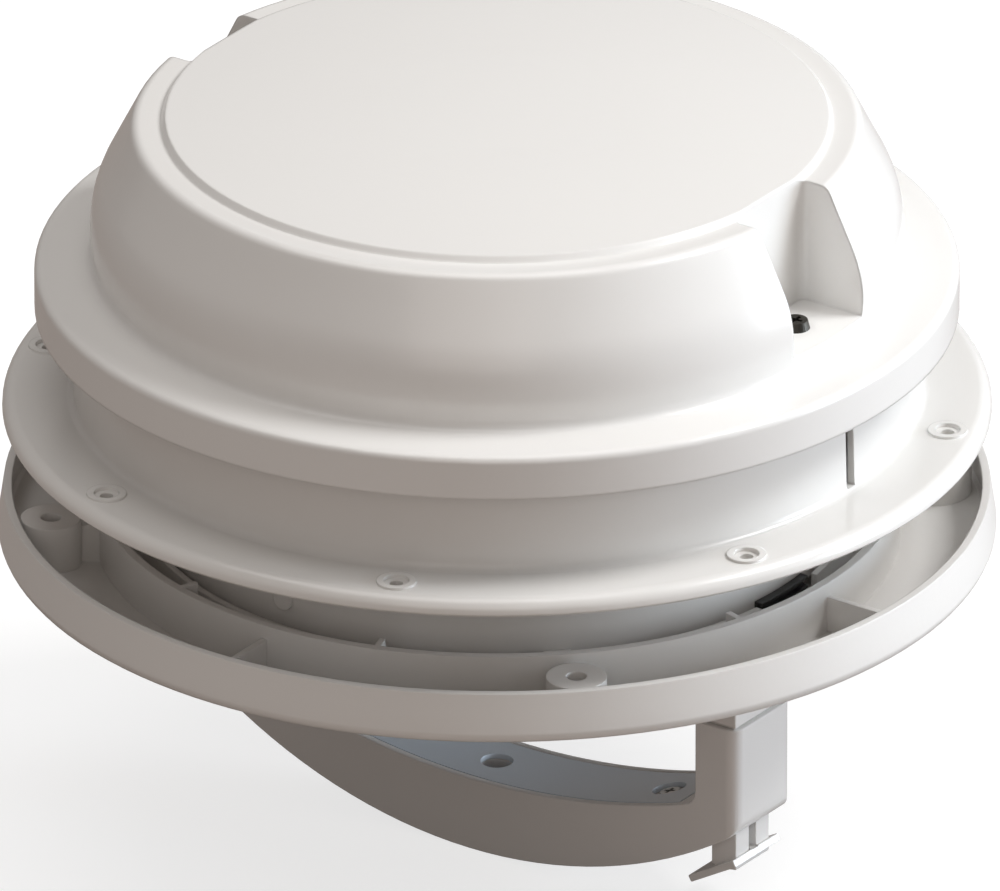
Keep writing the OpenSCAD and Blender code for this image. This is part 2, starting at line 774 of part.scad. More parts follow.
// Side view of the bow: two arcs, joined to the posts by rounded corners
low_c = [0, bow_low_z + bow_low_r];
top_c = [0, bow_top_z + bow_top_r];
low_fillet = [post_out - low_corner,
    low_c[1] - sqrt(pow(bow_low_r - low_corner, 2) - pow(post_out - low_corner, 2))];
top_fillet = [post_in - inner_corner,
    top_c[1] - sqrt(pow(bow_top_r - inner_corner, 2) - pow(post_in - inner_corner, 2))];
low_angle = atan2(low_fillet[1] - low_c[1], low_fillet[0]);
top_angle = atan2(top_fillet[1] - top_c[1], top_fillet[0]);
function half_low() = concat(
    arc(low_c, bow_low_r, -90, low_angle, 16),
    arc(low_fillet, low_corner, low_angle, 0, 6)
);
function half_top() = concat(
    arc(top_c, bow_top_r, -90, top_angle, 14),
    arc(top_fillet, inner_corner, top_angle, 0, 5)
);
function flip_x(v) = [for (p = v) [-p[0], p[1]]];

module bow_outline() {
    right = concat(half_low(), [[post_out, -joint_drop], [post_in, -joint_drop]], reversed(half_top()));
    polygon(concat(right, reversed(flip_x(right))));
}

// Strip of the bow between two depths under its upper curve
module bow_strip(x, w, up, down) {
    translate([0, w / 2, 0]) rotate([90, 0, 0]) linear_extrude(w) intersection() {
        difference() {
            translate(top_c) circle(r = bow_top_r + down, $fn = 360);
            translate(top_c) circle(r = bow_top_r + up, $fn = 360);
        }
        translate([-x, bow_low_z]) square([2 * x, joint_drop]);
    }
}

module bow_plan() {
    r = plan_round;
    x = post_out - r;
    y = bow_w / 2 - r;
    polygon(concat(arc([x, y], r, 0, 90, 6), arc([-x, y], r, 90, 180, 6),
                   arc([-x, -y], r, 180, 270, 6), arc([x, -y], r, 270, 360, 6)));
}

// Places its children on the bow's upper curve at x, square to it
module on_bow(x) {
    a = asin(x / bow_top_r);
    translate([x, 0, top_c[1] - bow_top_r * cos(a)]) rotate([0, -a, 0]) children();
}

module bow_handle() {
    cavity_t = strut_t - 2 * tenon_wall + 1.4 + 2 * tenon_gap;
    cavity_w = tenon_w + 2 * tenon_gap;
    color("whitesmoke") difference() {
        intersection() {
            translate([0, bow_w / 2, 0]) rotate([90, 0, 0]) linear_extrude(bow_w) bow_outline();
            translate([0, 0, bow_low_z - 1]) linear_extrude(bow_drop) bow_plan();
        }
        bow_strip(cover_x + seat_gap, cover_w + 2 * seat_gap, -1, cover_t + seat_gap);
        difference() {
            bow_strip(channel_x, channel_w, cover_t - 0.5, bow_t - channel_floor - 4);
            on_bow(0) translate([0, 0, -bow_t]) cylinder(r = well_r + well_wall, h = bow_t);
        }
        on_bow(0) translate([0, 0, -well_depth]) cylinder(r = well_r, h = well_depth + 1);
        for (side = [-1, 1]) {
            on_bow(side * cover_screw_x) translate([0, 0, -cover_seat - cover_shank - 1]) cylinder(r = cover_screw_r + seat_gap, h = cover_seat + cover_shank + 2);
            on_bow(side * cover_screw_x) translate([0, 0, -cover_seat]) cylinder(r = cover_head_r + 0.2, h = cover_seat + 2);
        }
        for (side = [0, 180]) rotate([0, 0, side]) {
            translate([strut_mid - cavity_t / 2, -cavity_w / 2, tail_up - trigger_travel])
                cube([cavity_t, cavity_w, bow_drop]);
            translate([post_in - 1, post_screw_y, post_screw_z]) rotate([0, 90, 0]) {
                cylinder(r = post_screw_r + seat_gap, h = 8);
                cylinder(r = post_head_r + 0.1, h = 2.6);
            }
        }
        translate([tail_in - slide_gap, -tail_w / 2 - slide_gap, bow_low_z - 1])
            cube([tail_t + 2 * slide_gap, tail_w + 2 * slide_gap, tail_up + trigger_travel + 1.5 - bow_low_z]);
    }
}

module bow_cover() {
    color("gainsboro") difference() {
        bow_strip(cover_x, cover_w, 0, cover_t);
        on_bow(0) translate([0, 0, -5]) cylinder(r = well_r, h = 10);
        for (side = [-1, 1]) on_bow(side * cover_screw_x) translate([0, 0, -5]) cylinder(r = cover_sink_r, h = 10);
    }
}

module cover_screws() {
    color("silver") for (side = [-1, 1]) on_bow(side * cover_screw_x)
        translate([0, 0, -cover_seat]) pan_screw(cover_screw_r, cover_head_r, cover_head_h, cover_shank);
}

// Screws through the inner face of each post into the strut's tenon
module post_screws() {
    color("silver") for (side = [0, 180]) rotate([0, 0, side])
        translate([post_in + 1.6, post_screw_y, post_screw_z]) rotate([0, -90, 0])
            pan_screw(post_screw_r, post_head_r, 1.4, strut_mid - post_in - 4);
}

// Trigger: a tail that slides in the right-hand post, with a sloping foot for the fingertips
module latch_trigger() {
    mid = tail_in + tail_t / 2;
    color("whitesmoke") difference() {
        union() {
            translate([tail_in, -tail_w / 2, tail_low - 1]) cube([tail_t, tail_w, tail_up - tail_low + 1]);
            translate([mid, 0, tail_low]) rotate([0, -foot_slope, 0])
                translate([-tail_t / 2 - foot_in, -foot_w / 2, -foot_t / 2 - 0.5])
                    cube([tail_t + foot_in + foot_out, foot_w, foot_t]);
        }
        translate([tail_in + tail_t - tail_slot_t, -tail_slot_w / 2, tail_low + 3])
            cube([tail_slot_t + 1, tail_slot_w, tail_up - tail_low - 5]);
    }
}

// Rod from the trigger up through the strut, with a nose block at its top
module latch_rod() {
    color("silver") {
        translate([strut_mid, 0, tail_up]) cylinder(r = rod_r, h = nose_low - tail_up + 1);
        translate([strut_mid - nose_w / 2, -nose_w / 2, nose_low]) cube([strut_out - strut_mid + nose_w / 2, nose_w, nose_h]);
    }
}

// Coil round the rod, between the trigger and the tenon, as one unbroken tube
module latch_spring() {
    sides = 6;
    steps = spring_turns * 8;
    low = tail_up + spring_wire + 0.1;
    rise = (-joint_drop - tenon_drop - tail_up - 2 * spring_wire - 0.2) / steps;
    spot = [for (i = [0:steps], j = [0:sides - 1])
        let (a = i * 45, b = j * 360 / sides, r = spring_r + spring_wire * cos(b))
        [strut_mid + r * cos(a), r * sin(a), low + i * rise + spring_wire * sin(b)]];
    skin = [for (i = [0:steps - 1], j = [0:sides - 1])
        let (p = i * sides + j, q = i * sides + (j + 1) % sides)
        each [[p, p + sides, q], [q, p + sides, q + sides]]];
    ends = [for (j = [1:sides - 2]) each [[0, j, j + 1], [steps * sides, steps * sides + j + 1, steps * sides + j]]];
    color("silver") polyhedron(points = spot, faces = concat(skin, ends));
    echo("least gap between turns", 8 * rise - 2 * spring_wire);
}

roof_flange();
flange_seal();
guide_clips();
ceiling_trim();
trim_grille();
insect_screen();
fan_frame();
frame_screws();
fan_motor();
motor_screws();
switch_body();
switch_rocker();
fan_impeller();
motor_shaft();
impeller_nut();
dome();
strut_right();
strut_left();
dome_screws();
bow_handle();
bow_cover();
cover_screws();
post_screws();
latch_trigger();
latch_rod();
latch_spring();
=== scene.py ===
import math

import bpy
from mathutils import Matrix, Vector


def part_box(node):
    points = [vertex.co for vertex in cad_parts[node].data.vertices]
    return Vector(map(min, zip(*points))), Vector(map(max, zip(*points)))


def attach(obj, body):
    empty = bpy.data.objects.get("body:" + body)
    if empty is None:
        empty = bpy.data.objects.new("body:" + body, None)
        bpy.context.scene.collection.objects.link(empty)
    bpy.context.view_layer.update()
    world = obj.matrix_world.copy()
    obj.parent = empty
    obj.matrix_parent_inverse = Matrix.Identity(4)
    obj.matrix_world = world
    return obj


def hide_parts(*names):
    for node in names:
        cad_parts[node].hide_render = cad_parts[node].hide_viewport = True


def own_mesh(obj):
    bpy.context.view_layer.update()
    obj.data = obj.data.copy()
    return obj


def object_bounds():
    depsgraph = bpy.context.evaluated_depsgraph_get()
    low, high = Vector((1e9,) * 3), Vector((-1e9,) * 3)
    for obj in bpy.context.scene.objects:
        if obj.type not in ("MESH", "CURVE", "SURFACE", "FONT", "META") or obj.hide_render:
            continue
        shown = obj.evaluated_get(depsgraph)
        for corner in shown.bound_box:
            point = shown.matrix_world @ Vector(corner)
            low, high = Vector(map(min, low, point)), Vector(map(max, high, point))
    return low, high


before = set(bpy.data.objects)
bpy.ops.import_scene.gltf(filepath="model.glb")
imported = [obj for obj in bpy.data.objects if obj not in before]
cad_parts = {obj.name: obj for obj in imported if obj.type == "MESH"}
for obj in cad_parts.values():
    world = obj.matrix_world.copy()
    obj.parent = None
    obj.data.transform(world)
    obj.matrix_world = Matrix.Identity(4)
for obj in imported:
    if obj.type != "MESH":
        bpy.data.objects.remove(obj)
solid_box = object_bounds()


# The camera stands above the vent and far back with a long lens, and looks at a point close
# to the vent's axis, between the flange and the trim.
AIM = Vector((0.0007, 0.0005, -0.0131))
STAND_OFF = 12.0
FOCAL_LENGTH = 1489.2
SENSOR_WIDTH = 36.0
CLIP_NEAR, CLIP_FAR = 0.5, 60.0
turn = math.radians(-55.0)
rise = math.radians(25.31)
towards_camera = Vector(
    (math.cos(rise) * math.cos(turn), math.cos(rise) * math.sin(turn), math.sin(rise))
)
lens = bpy.data.cameras.new("photo_camera")
lens.sensor_fit = "HORIZONTAL"
lens.sensor_width = SENSOR_WIDTH
lens.lens = FOCAL_LENGTH
lens.clip_start = CLIP_NEAR
lens.clip_end = CLIP_FAR
camera = bpy.data.objects.new("photo_camera", lens)
bpy.context.scene.collection.objects.link(camera)
camera.location = AIM + towards_camera * STAND_OFF
camera.rotation_euler = (-towards_camera).to_track_quat("-Z", "Y").to_euler()
bpy.context.scene.camera = camera


# Roof flange: one white ABS moulding with the upstand, the spigot, the raised screw seats
# and the guide shoes for the struts. It is bedded on the roof and held by eight screws.
def node_tree_sockets(tree, into, out):
    """Gives a node group its named inputs and outputs."""
    for name, kind, value in into:
        made = tree.interface.new_socket(name, in_out="INPUT", socket_type=kind)
        if value is not None:
            made.default_value = value
    for name, kind in out:
        tree.interface.new_socket(name, in_out="OUTPUT", socket_type=kind)


moulded_skin = bpy.data.node_groups.new("moulded_skin", "ShaderNodeTree")
node_tree_sockets(
    moulded_skin,
    [
        ("Colour", "NodeSocketColor", (0.8, 0.8, 0.8, 1.0)),
        ("Flow Colour", "NodeSocketColor", (0.8, 0.8, 0.8, 1.0)),
        ("Flow Size", "NodeSocketFloat", 9.0),
        ("Gloss Low", "NodeSocketFloat", 0.2),
        ("Gloss High", "NodeSocketFloat", 0.3),
        ("Peel Size", "NodeSocketFloat", 300.0),
        ("Peel Height", "NodeSocketFloat", 0.02),
    ],
    [
        ("Colour", "NodeSocketColor"),
        ("Roughness", "NodeSocketFloat"),
        ("Normal", "NodeSocketVector"),
    ],
)
n, l = moulded_skin.nodes, moulded_skin.links
skin_in, skin_out = n.new("NodeGroupInput"), n.new("NodeGroupOutput")
place = n.new("ShaderNodeTexCoord")
flow = n.new("ShaderNodeTexNoise")
flow.inputs["Detail"].default_value = 3.0
flow.inputs["Roughness"].default_value = 0.55
l.new(place.outputs["Object"], flow.inputs["Vector"])
l.new(skin_in.outputs["Flow Size"], flow.inputs["Scale"])
tint = n.new("ShaderNodeMix")
tint.data_type = "RGBA"
l.new(flow.outputs["Fac"], tint.inputs["Factor"])
l.new(skin_in.outputs["Colour"], tint.inputs["A"])
l.new(skin_in.outputs["Flow Colour"], tint.inputs["B"])
l.new(tint.outputs["Result"], skin_out.inputs["Colour"])
haze = n.new("ShaderNodeMapRange")
l.new(flow.outputs["Fac"], haze.inputs["Value"])
l.new(skin_in.outputs["Gloss Low"], haze.inputs["To Min"])
l.new(skin_in.outputs["Gloss High"], haze.inputs["To Max"])
l.new(haze.outputs["Result"], skin_out.inputs["Roughness"])
peel = n.new("ShaderNodeTexNoise")
peel.inputs["Detail"].default_value = 2.0
l.new(place.outputs["Object"], peel.inputs["Vector"])
l.new(skin_in.outputs["Peel Size"], peel.inputs["Scale"])
dimple = n.new("ShaderNodeBump")
dimple.inputs["Distance"].default_value = 0.0004
l.new(skin_in.outputs["Peel Height"], dimple.inputs["Strength"])
l.new(peel.outputs["Fac"], dimple.inputs["Height"])
l.new(dimple.outputs["Normal"], skin_out.inputs["Normal"])


EDGE_SAMPLES = 6


def finish(
    name, colour, flow_colour, gloss, peel_size, peel_height, flow_size=9.0, worn=0.0, **sockets
):
    """A material with the moulded skin's colour, gloss and grain, and its own fixed shader values.

    A worn radius rounds the look of every edge by that much."""
    made = bpy.data.materials.new(name)
    made.use_nodes = True
    shader = made.node_tree.nodes["Principled BSDF"]
    skin = made.node_tree.nodes.new("ShaderNodeGroup")
    skin.node_tree = moulded_skin
    skin.inputs["Colour"].default_value = (*colour, 1.0)
    skin.inputs["Flow Colour"].default_value = (*flow_colour, 1.0)
    skin.inputs["Flow Size"].default_value = flow_size
    skin.inputs["Gloss Low"].default_value, skin.inputs["Gloss High"].default_value = gloss
    skin.inputs["Peel Size"].default_value = peel_size
    skin.inputs["Peel Height"].default_value = peel_height
    join = made.node_tree.links.new
    join(skin.outputs["Colour"], shader.inputs["Base Color"])
    join(skin.outputs["Roughness"], shader.inputs["Roughness"])
    grain = skin.outputs["Normal"]
    if worn:
        round_edge = made.node_tree.nodes.new("ShaderNodeBevel")
        round_edge.samples = EDGE_SAMPLES
        round_edge.inputs["Radius"].default_value = worn
        join(grain, round_edge.inputs["Normal"])
        grain = round_edge.outputs["Normal"]
    join(grain, shader.inputs["Normal"])
    for socket, value in sockets.items():
        shader.inputs[socket.replace("_", " ")].default_value = value
    return made


CREASE_ANGLE = math.radians(28.0)
soft_faces = bpy.data.node_groups.new("soft_faces", "GeometryNodeTree")
soft_faces.is_modifier = True
node_tree_sockets(
    soft_faces,
    [("Geometry", "NodeSocketGeometry", None), ("Crease Angle", "NodeSocketFloat", CREASE_ANGLE)],
    [("Geometry", "NodeSocketGeometry")],
)
n, l = soft_faces.nodes, soft_faces.links
faces_in, faces_out = n.new("NodeGroupInput"), n.new("NodeGroupOutput")
smooth, crease = n.new("GeometryNodeSetShadeSmooth"), n.new("GeometryNodeSetShadeSmooth")
fold, sharper = n.new("GeometryNodeInputMeshEdgeAngle"), n.new("FunctionNodeCompare")
l.new(faces_in.outputs[0], smooth.inputs["Geometry"])
crease.domain = "EDGE"
crease.inputs["Shade Smooth"].default_value = False
l.new(fold.outputs["Unsigned Angle"], sharper.inputs["A"])
l.new(faces_in.outputs["Crease Angle"], sharper.inputs["B"])
l.new(sharper.outputs["Result"], crease.inputs["Selection"])
l.new(smooth.outputs["Geometry"], crease.inputs["Geometry"])
l.new(crease.outputs["Geometry"], faces_out.inputs[0])


WELD_REACH = 0.000004
FLAT_ANGLE = math.radians(0.4)
BREAK_ANGLE = math.radians(34.0)
FACE_WEIGHT = 60


def dress(node, material, edge, steps=2):
    """Gives a CAD node its material, and breaks its edges by a small radius unless it is 0."""
    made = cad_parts[node]
    made.data.materials.clear()
    made.data.materials.append(material)
    weld = made.modifiers.new("weld", "WELD")
    weld.merge_threshold = WELD_REACH
    if edge:
        flat = made.modifiers.new("flat", "DECIMATE")
        flat.decimate_type = "DISSOLVE"
        flat.angle_limit = FLAT_ANGLE
        broken = made.modifiers.new("edge", "BEVEL")
        broken.width = edge
        broken.segments = steps
        broken.limit_method = "ANGLE"
        broken.angle_limit = BREAK_ANGLE
        broken.use_clamp_overlap = False
        broken.miter_outer = "MITER_ARC"
    made.modifiers.new("soft", "NODES").node_group = soft_faces
    weigh = made.modifiers.new("weigh", "WEIGHTED_NORMAL")
    weigh.mode = "FACE_AREA"
    weigh.weight = FACE_WEIGHT
    weigh.keep_sharp = True


roof_white = finish(
    "roof_white_abs", (0.80, 0.79, 0.77), (0.77, 0.757, 0.735), (0.20, 0.27), 420.0, 0.05,
    worn=0.0006, Specular_IOR_Level=0.55, Coat_Weight=0.18, Coat_Roughness=0.08,
)
dress("roof_flange", roof_white, edge=0.0)


# Flange seal: a soft black sponge-rubber ring, pressed on to the top edge of the upstand,
# which the dome's ledge closes on.
seal_rubber = finish(
    "sponge_rubber", (0.030, 0.030, 0.031), (0.050, 0.049, 0.047), (0.62, 0.82), 900.0, 0.5,
)
dress("flange_seal", seal_rubber, edge=0.0003)


# Guide clips: two black nylon clips with a pair of fins each, pushed on to the spigot's
# lower edge outside the guide shoes. The nylon is slightly shiny along the fins.
clip_nylon = finish(
    "black_nylon", (0.018, 0.018, 0.019), (0.034, 0.034, 0.036), (0.34, 0.5), 700.0, 0.18,
)
dress("guide_clips", clip_nylon, edge=0.00025)


# Ceiling trim: a deep white tray that screws to the ceiling through four bosses, with ribs,
# gussets and a collar. It comes from another tool than the flange and is a touch greyer.
ceiling_white = finish(
    "ceiling_white_abs", (0.775, 0.765, 0.745), (0.745, 0.73, 0.71), (0.26, 0.34), 380.0, 0.06,
    worn=0.0006, Specular_IOR_Level=0.5, Coat_Weight=0.08, Coat_Roughness=0.15,
)
dress("ceiling_trim", ceiling_white, edge=0.0)


# Grille: a flat moulded plate of rings and spokes that lies in the trim's mouth and keeps
# fingers out of the fan. It lifts out from above.
dress("trim_grille", ceiling_white, edge=0.0003)


# Insect screen: woven grey glass-fibre net, heat-staked into a thin frame that lies on the
# grille. The wires are 2.2 mm apart, and stop at the notches that the struts pass through.
NET_REACH = 0.0930
NET_PITCH = 0.0022
NET_NOTCH_X = 0.0752
NET_NOTCH_Y = 0.0165
WIRE_R = 0.00018
WEFT_LIFT = 0.00035
WARP_LIFT = 0.00065
NET_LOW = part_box("insect_screen")[0].z

rods_on_points = bpy.data.node_groups.new("rods_on_points", "GeometryNodeTree")
rods_on_points.is_modifier = True
node_tree_sockets(
    rods_on_points,
    [
        ("Geometry", "NodeSocketGeometry", None),
        ("Radius", "NodeSocketFloat", 0.0002),
        ("Sides", "NodeSocketInt", 4),
        ("Material", "NodeSocketMaterial", None),
    ],
    [("Geometry", "NodeSocketGeometry")],
)
n, l = rods_on_points.nodes, rods_on_points.links
rods_in, rods_out = n.new("NodeGroupInput"), n.new("NodeGroupOutput")
rod = n.new("GeometryNodeMeshCylinder")
rod.inputs["Depth"].default_value = 1.0
l.new(rods_in.outputs["Sides"], rod.inputs["Vertices"])
l.new(rods_in.outputs["Radius"], rod.inputs["Radius"])
along = n.new("GeometryNodeInputNamedAttribute")
along.data_type = "FLOAT_VECTOR"
along.inputs["Name"].default_value = "along"
aim_rod = n.new("FunctionNodeAlignRotationToVector")
l.new(along.outputs["Attribute"], aim_rod.inputs["Vector"])
long = n.new("ShaderNodeVectorMath")
long.operation = "LENGTH"
l.new(along.outputs["Attribute"], long.inputs[0])
stretch = n.new("ShaderNodeCombineXYZ")
stretch.inputs["X"].default_value = 1.0
stretch.inputs["Y"].default_value = 1.0
l.new(long.outputs["Value"], stretch.inputs["Z"])
set_rods = n.new("GeometryNodeInstanceOnPoints")
l.new(rods_in.outputs["Geometry"], set_rods.inputs["Points"])
l.new(rod.outputs["Mesh"], set_rods.inputs["Instance"])
l.new(aim_rod.outputs["Rotation"], set_rods.inputs["Rotation"])
l.new(stretch.outputs["Vector"], set_rods.inputs["Scale"])
real_rods = n.new("GeometryNodeRealizeInstances")
l.new(set_rods.outputs["Instances"], real_rods.inputs["Geometry"])
paint_rods = n.new("GeometryNodeSetMaterial")
l.new(real_rods.outputs["Geometry"], paint_rods.inputs["Geometry"])
l.new(rods_in.outputs["Material"], paint_rods.inputs["Material"])
l.new(paint_rods.outputs["Geometry"], rods_out.inputs["Geometry"])


def points_with(name, spots, **vectors):
    """An object of bare points, each with the named vectors that a node tree reads."""
    mesh = bpy.data.meshes.new(name)
    mesh.from_pydata(spots, [], [])
    for key, values in vectors.items():
        kept = mesh.attributes.new(key, "FLOAT_VECTOR", "POINT")
        kept.data.foreach_set("vector", [c for v in values for c in v])
    made = bpy.data.objects.new(name, mesh)
    bpy.context.scene.collection.objects.link(made)
    return made


def grown(made, tree, **inputs):
    """Runs a node tree on an object with the named inputs, and leaves a plain flat-shaded mesh."""
    grow = made.modifiers.new("grow", "NODES")
    grow.node_group = tree
    for item in tree.interface.items_tree:
        key = item.name.replace(" ", "_")
        if item.item_type == "SOCKET" and item.in_out == "INPUT" and key in inputs:
            grow[item.identifier] = inputs[key]
    made.update_tag()
    bpy.context.view_layer.update()
    graph = bpy.context.evaluated_depsgraph_get()
    result = bpy.data.meshes.new_from_object(made.evaluated_get(graph))
    made.modifiers.remove(grow)
    made.data = result
    for face in result.polygons:
        face.use_smooth = False
    return made


net_grey = finish(
    "glass_fibre_net", (0.23, 0.235, 0.24), (0.30, 0.30, 0.305), (0.45, 0.6), 1200.0, 0.1,
)
spots, runs = [], []
for step in range(int(-NET_REACH / NET_PITCH) + 1, int(NET_REACH / NET_PITCH)):
    off = step * NET_PITCH
    reach = math.sqrt(NET_REACH**2 - off**2)
    half = min(reach, NET_NOTCH_X) if abs(off) < NET_NOTCH_Y else reach
    spots.append((0.0, off, NET_LOW + WEFT_LIFT))
    runs.append((2 * half, 0.0, 0.0))
    stretches = [(-reach, reach)]
    if abs(off) >= NET_NOTCH_X:
        stretches = [(-reach, -NET_NOTCH_Y), (NET_NOTCH_Y, reach)]
    for low, high in stretches:
        if high > low:
            spots.append((off, (low + high) / 2, NET_LOW + WARP_LIFT))
            runs.append((0.0, high - low, 0.0))
net = grown(
    points_with("insect_net", spots, along=runs), rods_on_points,
    Radius=WIRE_R, Sides=4, Material=net_grey,
)
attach(net, "base")
dress("insect_screen", net_grey, edge=0.0)


# Fan frame: four arms and a shroud ring, moulded in light grey plastic and screwed to the
# brackets inside the spigot. It carries the motor in its middle.
frame_grey = finish(
    "light_grey_plastic", (0.60, 0.60, 0.59), (0.56, 0.56, 0.55), (0.30, 0.42), 420.0, 0.10,
)
dress("fan_frame", frame_grey, edge=0.0004)


# Screws: pan heads with a cross recess, rolled steel with a bright zinc coat. Four hold the
# fan frame, two the motor, two the bow's cover and two the struts in the handle's posts.
pan_screws = bpy.data.node_groups.new("pan_screws", "GeometryNodeTree")
pan_screws.is_modifier = True
node_tree_sockets(
    pan_screws,
    [
        ("Geometry", "NodeSocketGeometry", None),
        ("Head Radius", "NodeSocketFloat", 0.0035),
        ("Head Height", "NodeSocketFloat", 0.002),
        ("Shank Radius", "NodeSocketFloat", 0.0015),
        ("Shank Length", "NodeSocketFloat", 0.01),
        ("Material", "NodeSocketMaterial", None),
    ],
    [("Geometry", "NodeSocketGeometry")],
)
n, l = pan_screws.nodes, pan_screws.links
screw_in, screw_out = n.new("NodeGroupInput"), n.new("NodeGroupOutput")
HEAD_SIDES, SHANK_SIDES = 32, 20
HEAD_TAPER = 0.84
WING_LONG, WING_NARROW, WING_DEEP = 1.05, 0.26, 1.1


def worked(tree, operation, a, b):
    """A math node's result; a and b are sockets or numbers."""
    made = tree.nodes.new("ShaderNodeMath")
    made.operation = operation
    for socket, value in zip(made.inputs, (a, b)):
        if isinstance(value, (int, float)):
            socket.default_value = value
        else:
            tree.links.new(value, socket)
    return made.outputs[0]


def lifted(tree, geometry, height):
    """Geometry raised by a height, which is a socket."""
    by = tree.nodes.new("ShaderNodeCombineXYZ")
    tree.links.new(height, by.inputs["Z"])
    made = tree.nodes.new("GeometryNodeTransform")
    tree.links.new(geometry, made.inputs["Geometry"])
    tree.links.new(by.outputs["Vector"], made.inputs["Translation"])
    return made.outputs["Geometry"]


head_r, head_h = screw_in.outputs["Head Radius"], screw_in.outputs["Head Height"]
head = n.new("GeometryNodeMeshCone")
head.inputs["Vertices"].default_value = HEAD_SIDES
l.new(head_r, head.inputs["Radius Bottom"])
l.new(worked(pan_screws, "MULTIPLY", head_r, HEAD_TAPER), head.inputs["Radius Top"])
l.new(head_h, head.inputs["Depth"])
head_shape = head.outputs["Mesh"]
for along_x, along_y in ((WING_LONG, WING_NARROW), (WING_NARROW, WING_LONG)):
    wing_size = n.new("ShaderNodeCombineXYZ")
    l.new(worked(pan_screws, "MULTIPLY", head_r, along_x), wing_size.inputs["X"])
    l.new(worked(pan_screws, "MULTIPLY", head_r, along_y), wing_size.inputs["Y"])
    l.new(worked(pan_screws, "MULTIPLY", head_h, WING_DEEP), wing_size.inputs["Z"])
    wing = n.new("GeometryNodeMeshCube")
    l.new(wing_size.outputs["Vector"], wing.inputs["Size"])
    recess = n.new("GeometryNodeMeshBoolean")
    recess.operation = "DIFFERENCE"
    l.new(head_shape, recess.inputs["Mesh 1"])
    l.new(lifted(pan_screws, wing.outputs["Mesh"], head_h), recess.inputs["Mesh 2"])
    head_shape = recess.outputs["Mesh"]
shank = n.new("GeometryNodeMeshCylinder")
shank.inputs["Vertices"].default_value = SHANK_SIDES
l.new(screw_in.outputs["Shank Radius"], shank.inputs["Radius"])
l.new(screw_in.outputs["Shank Length"], shank.inputs["Depth"])
half_down = worked(pan_screws, "MULTIPLY", screw_in.outputs["Shank Length"], -0.5)
whole = n.new("GeometryNodeJoinGeometry")
l.new(head_shape, whole.inputs[0])
l.new(lifted(pan_screws, shank.outputs["Mesh"], half_down), whole.inputs[0])
up = n.new("GeometryNodeInputNamedAttribute")
up.data_type = "FLOAT_VECTOR"
up.inputs["Name"].default_value = "up"
aim_screw = n.new("FunctionNodeAlignRotationToVector")
l.new(up.outputs["Attribute"], aim_screw.inputs["Vector"])
set_screws = n.new("GeometryNodeInstanceOnPoints")
l.new(screw_in.outputs["Geometry"], set_screws.inputs["Points"])
l.new(whole.outputs[0], set_screws.inputs["Instance"])
l.new(aim_screw.outputs["Rotation"], set_screws.inputs["Rotation"])
real_screws = n.new("GeometryNodeRealizeInstances")
l.new(set_screws.outputs["Instances"], real_screws.inputs["Geometry"])
paint_screws = n.new("GeometryNodeSetMaterial")
l.new(real_screws.outputs["Geometry"], paint_screws.inputs["Geometry"])
l.new(screw_in.outputs["Material"], paint_screws.inputs["Material"])
l.new(paint_screws.outputs["Geometry"], screw_out.inputs["Geometry"])

zinc_steel = finish(
    "zinc_plated_steel", (0.50, 0.50, 0.49), (0.62, 0.61, 0.59), (0.24, 0.40), 900.0, 0.12,
    flow_size=260.0, Metallic=1.0,
)


def screws(node, body, seats, ups, material, head_r, head_h, shank_r, shank_l):
    """Screws seated at points in metres, in place of a CAD node's plain ones."""
    made = grown(
        points_with(node + "_fine", seats, up=ups), pan_screws,
        Head_Radius=head_r, Head_Height=head_h,
        Shank_Radius=shank_r, Shank_Length=shank_l, Material=material,
    )
    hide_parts(node)
    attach(made, body)


FRAME_SCREW_R = 0.092
FRAME_SCREW_Z = -0.005
MOTOR_SCREW_X = 0.0115
MOTOR_SCREW_Z = -0.010
frame_angles = [math.radians(a) for a in (45, 135, 225, 315)]
screws(
    "frame_screws", "base",
    [
        (FRAME_SCREW_R * math.cos(a), FRAME_SCREW_R * math.sin(a), FRAME_SCREW_Z)
        for a in frame_angles
    ],
    [(0, 0, 1)] * 4, zinc_steel, 0.003, 0.0018, 0.0015, 0.015,
)
screws(
    "motor_screws", "base",
    [(MOTOR_SCREW_X, 0, MOTOR_SCREW_Z), (-MOTOR_SCREW_X, 0, MOTOR_SCREW_Z)],
    [(0, 0, -1)] * 2, zinc_steel, 0.0026, 0.0016, 0.0015, 0.010,
)


# Fan motor: a small drawn steel can with a rolled top edge, zinc-plated, standing on the
# frame's hub plate. Its shaft comes out below and carries the impeller and its nut.
can_steel = finish(
    "drawn_steel_can", (0.44, 0.445, 0.45), (0.52, 0.52, 0.515), (0.28, 0.42), 500.0, 0.06,
    flow_size=60.0, Metallic=1.0,
)
dress("fan_motor", can_steel, edge=0.0005, steps=3)
dress("motor_shaft", zinc_steel, edge=0.0003)
dress("impeller_nut", zinc_steel, edge=0.0003)


# Impeller: hub and curved blades in one dark grey moulding, pushed on to the shaft. Fine
# dust dulls the plastic a little.
impeller_grey = finish(
    "dark_grey_nylon", (0.060, 0.061, 0.064), (0.105, 0.102, 0.098), (0.38, 0.56), 500.0, 0.14,
    flow_size=22.0,
)
dress("fan_impeller", impeller_grey, edge=0.0004)


# Fan switch: a black rocker in a black snap-in housing, let into the trim's underside.
switch_black = finish(
    "switch_black", (0.022, 0.022, 0.023), (0.036, 0.036, 0.037), (0.28, 0.40), 800.0, 0.10,
)
dress("switch_body", switch_black, edge=0.0002)
dress("switch_rocker", switch_black, edge=0.0003)


